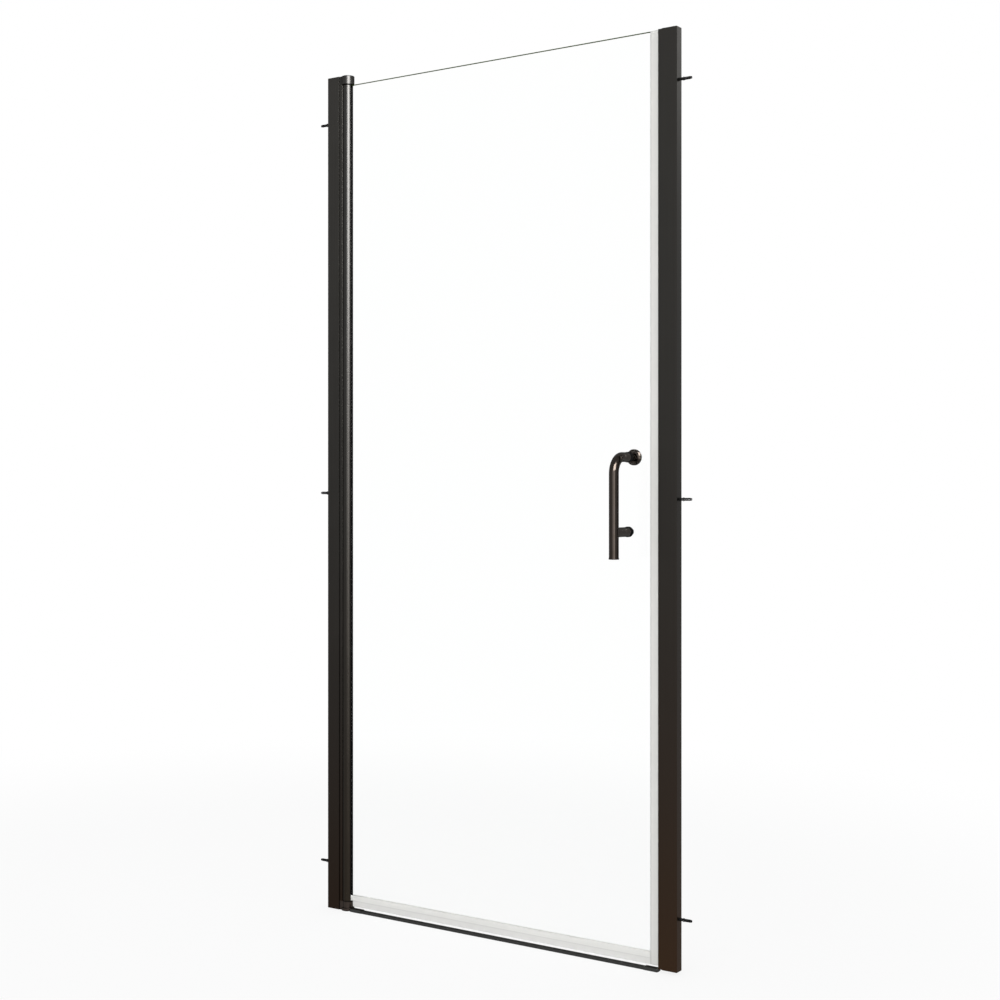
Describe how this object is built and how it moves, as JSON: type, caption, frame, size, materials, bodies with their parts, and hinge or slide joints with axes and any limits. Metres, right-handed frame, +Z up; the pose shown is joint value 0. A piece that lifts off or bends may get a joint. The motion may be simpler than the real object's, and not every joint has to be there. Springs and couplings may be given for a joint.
{
  "type": "pivot shower door",
  "caption": "Clear glass shower door that swings on a round hinge stile between dark bronze wall channels, with a bent tube pull, an inside knob, clear seals and a threshold bar.",
  "frame": {"origin": "foot of the hinge-side wall face at curb level, in the plane of the middle of the glass", "axes": "+X from the hinge wall to the strike wall, +Y from the room into the shower, +Z up"},
  "size_m": [0.9174, 0.099, 1.829],
  "materials": {
    "dark_bronze": "satin dark bronze coating on extruded aluminium",
    "bronze_fittings": "satin dark bronze coating on cast fittings",
    "bronze_handle": "polished dark bronze plating on steel tube",
    "glass": "clear tempered glass with polished edges",
    "clear_vinyl": "clear flexible vinyl",
    "magnet": "white-faced flexible magnet",
    "black_rubber": "matt black rubber",
    "black_nylon": "moulded black nylon",
    "steel": "zinc-plated steel"
  },
  "bodies": {
    "frame": {"hinge_wall_profile": "dark_bronze", "strike_wall_profile": "dark_bronze", "hinge_jamb": "dark_bronze", "strike_jamb": "dark_bronze", "top_pivot_cap": "bronze_fittings", "bottom_pivot_block": "bronze_fittings", "top_pivot_bush": "black_nylon", "bottom_pivot_bush": "black_nylon", "pivot_bracket_screws": "steel", "strike_magnet_carrier": "clear_vinyl", "strike_magnet_strip": "magnet", "threshold_bar": "dark_bronze", "threshold_end_cap_hinge": "bronze_fittings", "threshold_end_cap_strike": "bronze_fittings", "wall_plugs": "black_nylon", "wall_screws": "steel", "jamb_screws": "steel"},
    "door": {"hinge_stile": "dark_bronze", "top_stile_plug": "black_nylon", "bottom_stile_plug": "black_nylon", "top_pivot_pin": "steel", "bottom_pivot_pin": "steel", "glazing_channel": "black_rubber", "glass_panel": "glass", "door_magnet_seal": "clear_vinyl", "door_magnet_strip": "magnet", "bottom_sweep": "clear_vinyl", "handle_bar": "bronze_handle", "handle_post": "bronze_handle", "handle_bar_cap": "bronze_handle", "handle_tube_inserts": "steel", "handle_collars": "black_rubber", "handle_hole_sleeves": "black_nylon", "handle_back_washers": "black_rubber", "handle_stud": "steel", "inside_knob": "bronze_handle", "lower_handle_screw": "bronze_handle"}
  },
  "joints": [
    {"name": "door_swing", "type": "hinge", "parent": "frame", "child": "door", "pos_m": [0.0492, 0, 0.9], "axis": [0, 0, -1], "range_deg": [0, 100]}
  ]
}
